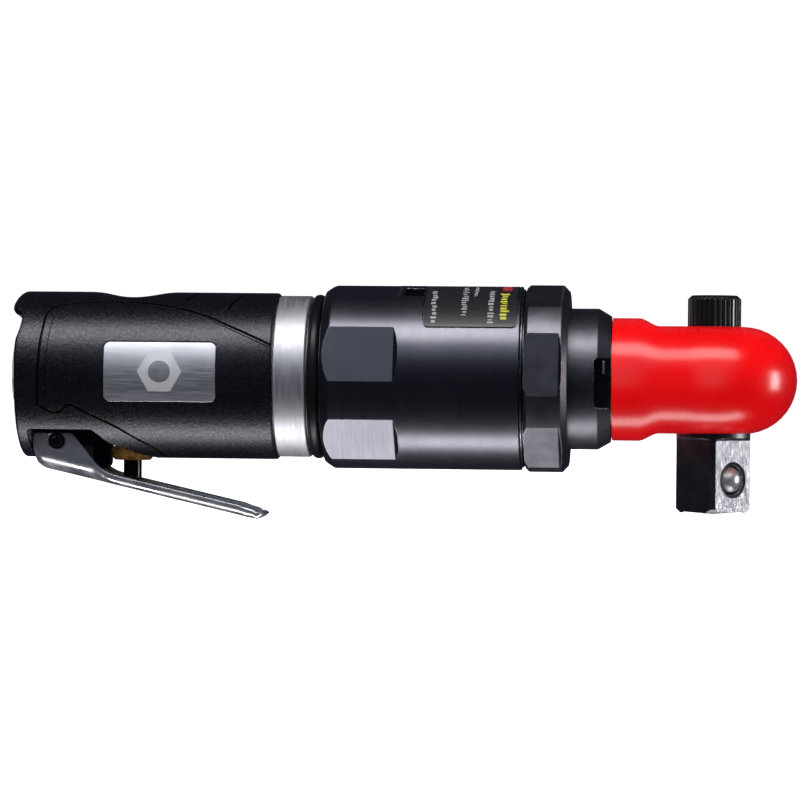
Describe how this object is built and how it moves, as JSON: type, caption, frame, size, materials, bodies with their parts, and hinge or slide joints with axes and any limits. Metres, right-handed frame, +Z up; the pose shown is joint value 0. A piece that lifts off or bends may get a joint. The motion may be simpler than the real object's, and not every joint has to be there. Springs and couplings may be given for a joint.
{
  "type": "air ratchet",
  "caption": "Pneumatic ratchet wrench with a straight sleeved handle, throttle lever, faceted gear barrel, booted ratchet head and square drive.",
  "frame": {"origin": "centre of the end face of the drive square", "axes": "+X from the air inlet towards the ratchet head, +Z up out of the drive towards the selector knob, -Z out of the drive end"},
  "size_m": [0.1792, 0.0428, 0.0541],
  "materials": {
    "grip_composite": "fine grained, charcoal",
    "badge_metal": "brushed",
    "throttle_casting": "satin black",
    "brass": "aged",
    "chrome_sheet": "bright plated",
    "black_steel": "satin, worn bright on its edges",
    "blue_black_steel": "blued, semi-gloss",
    "housing_alloy": "fine turned",
    "machined_steel": "machined",
    "bearing_steel": "ground",
    "black_rubber": "satin",
    "red_rubber": "soft satin",
    "label_film": "printed film",
    "blade_composite": "woven resin",
    "knob_plastic": "ribbed, satin"
  },
  "bodies": {
    "housing": {"handle_grip": "grip_composite", "badge_plate": "badge_metal", "throttle_body": "throttle_casting", "valve_bushing": "brass", "valve_spring": "machined_steel", "valve_cap": "brass", "lever_pin": "machined_steel", "inlet_bushing": "machined_steel", "motor_housing": "housing_alloy", "front_o_ring": "black_rubber", "motor_cylinder": "machined_steel", "rear_end_plate": "machined_steel", "front_end_plate": "machined_steel", "rear_bearing": "bearing_steel", "front_bearing": "bearing_steel", "motor_clamp_ring": "machined_steel", "ring_gear": "machined_steel", "carrier_bearing": "bearing_steel", "gear_barrel": "blue_black_steel", "rating_label": "label_film", "clamp_nut": "black_steel", "ratchet_housing": "black_steel", "head_cover": "black_steel", "yoke_washer": "machined_steel", "head_boot": "red_rubber", "crank_bearing_rear": "bearing_steel", "crank_bearing_front": "bearing_steel"},
    "deflector": {"exhaust_deflector": "chrome_sheet"},
    "lever": {"throttle_lever": "chrome_sheet"},
    "valve": {"throttle_valve": "black_steel"},
    "rotor": {"rotor": "machined_steel", "rotor_blade_1": "blade_composite", "rotor_blade_2": "blade_composite", "rotor_blade_3": "blade_composite", "rotor_blade_4": "blade_composite", "rotor_blade_5": "blade_composite"},
    "crank": {"planet_carrier": "machined_steel", "planet_pin_1": "bearing_steel", "planet_pin_2": "bearing_steel", "planet_pin_3": "bearing_steel", "crankshaft": "machined_steel", "drive_bushing": "bearing_steel"},
    "planet_1": {"planet_gear_1": "machined_steel"},
    "planet_2": {"planet_gear_2": "machined_steel"},
    "planet_3": {"planet_gear_3": "machined_steel"},
    "yoke": {"ratchet_yoke": "machined_steel"},
    "anvil": {"drive_anvil": "black_steel", "anvil_snap_ring": "machined_steel", "pawl_pin_1": "bearing_steel", "pawl_pin_2": "bearing_steel", "ball_spring": "machined_steel"},
    "selector": {"selector_knob": "knob_plastic", "selector_shaft": "machined_steel", "pawl_plunger_1": "machined_steel", "pawl_plunger_2": "machined_steel", "plunger_spring": "machined_steel"},
    "forward_pawl": {"pawl_1": "machined_steel"},
    "reverse_pawl": {"pawl_2": "machined_steel"},
    "ball": {"retaining_ball": "bearing_steel"}
  },
  "joints": [
    {"name": "lever_press", "type": "hinge", "parent": "housing", "child": "lever", "pos_m": [-0.15, 0, 0.0153], "axis": [0, -1, 0], "range_deg": [0, 6], "stiffness_Nm_per_rad": 2.5, "springref_deg": -11.46},
    {"name": "valve_slide", "type": "slide", "parent": "housing", "child": "valve", "axis": [0, 0, 1], "range_m": [0, 0.002], "deforming": ["valve_spring"]},
    {"name": "deflector_turn", "type": "hinge", "parent": "housing", "child": "deflector", "pos_m": [-0.158, 0, 0.0305], "axis": [1, 0, 0], "continuous": true},
    {"name": "rotor_spin", "type": "hinge", "parent": "housing", "child": "rotor", "pos_m": [-0.11, 0, 0.0305], "axis": [1, 0, 0], "continuous": true},
    {"name": "crank_spin", "type": "hinge", "parent": "housing", "child": "crank", "pos_m": [-0.06, 0, 0.0305], "axis": [1, 0, 0], "continuous": true},
    {"name": "planet_1_spin", "type": "hinge", "parent": "crank", "child": "planet_1", "pos_m": [-0.0768, 0.0105, 0.0305], "axis": [1, 0, 0], "continuous": true},
    {"name": "planet_2_spin", "type": "hinge", "parent": "crank", "child": "planet_2", "pos_m": [-0.0768, -0.00525, 0.03959], "axis": [1, 0, 0], "continuous": true},
    {"name": "planet_3_spin", "type": "hinge", "parent": "crank", "child": "planet_3", "pos_m": [-0.0768, -0.00525, 0.02141], "axis": [1, 0, 0], "continuous": true},
    {"name": "yoke_swing", "type": "hinge", "parent": "housing", "child": "yoke", "pos_m": [0, 0, 0.0305], "axis": [0, 0, 1], "range_deg": [-4, 4]},
    {"name": "anvil_spin", "type": "hinge", "parent": "housing", "child": "anvil", "pos_m": [0, 0, 0.0305], "axis": [0, 0, 1], "continuous": true},
    {"name": "selector_turn", "type": "hinge", "parent": "anvil", "child": "selector", "pos_m": [0, 0, 0.0305], "axis": [0, 0, 1], "range_deg": [0, 40]},
    {"name": "pawl_1_rock", "type": "hinge", "parent": "anvil", "child": "forward_pawl", "pos_m": [0.0056, 0, 0.0305], "axis": [0, 0, 1], "range_deg": [-10, 0]},
    {"name": "pawl_2_rock", "type": "hinge", "parent": "anvil", "child": "reverse_pawl", "pos_m": [-0.0056, 0, 0.0305], "axis": [0, 0, 1], "range_deg": [-10, 0]},
    {"name": "ball_press", "type": "slide", "parent": "anvil", "child": "ball", "axis": [-0.7071, 0.7071, 0], "range_m": [0, 0.0012], "stiffness_N_per_m": 800, "springref_m": -0.002}
  ],
  "couplings": [
    {"joint": "valve_slide", "follows": "lever_press", "m_per_rad": 0.0182},
    {"joint": "rotor_spin", "follows": "crank_spin", "ratio": 3.5},
    {"joint": "planet_1_spin", "follows": "crank_spin", "ratio": -3.3333},
    {"joint": "planet_2_spin", "follows": "crank_spin", "ratio": -3.3333},
    {"joint": "planet_3_spin", "follows": "crank_spin", "ratio": -3.3333},
    {"joint": "pawl_1_rock", "follows": "selector_turn", "ratio": -0.25},
    {"joint": "pawl_2_rock", "follows": "selector_turn", "ratio": -0.25}
  ]
}
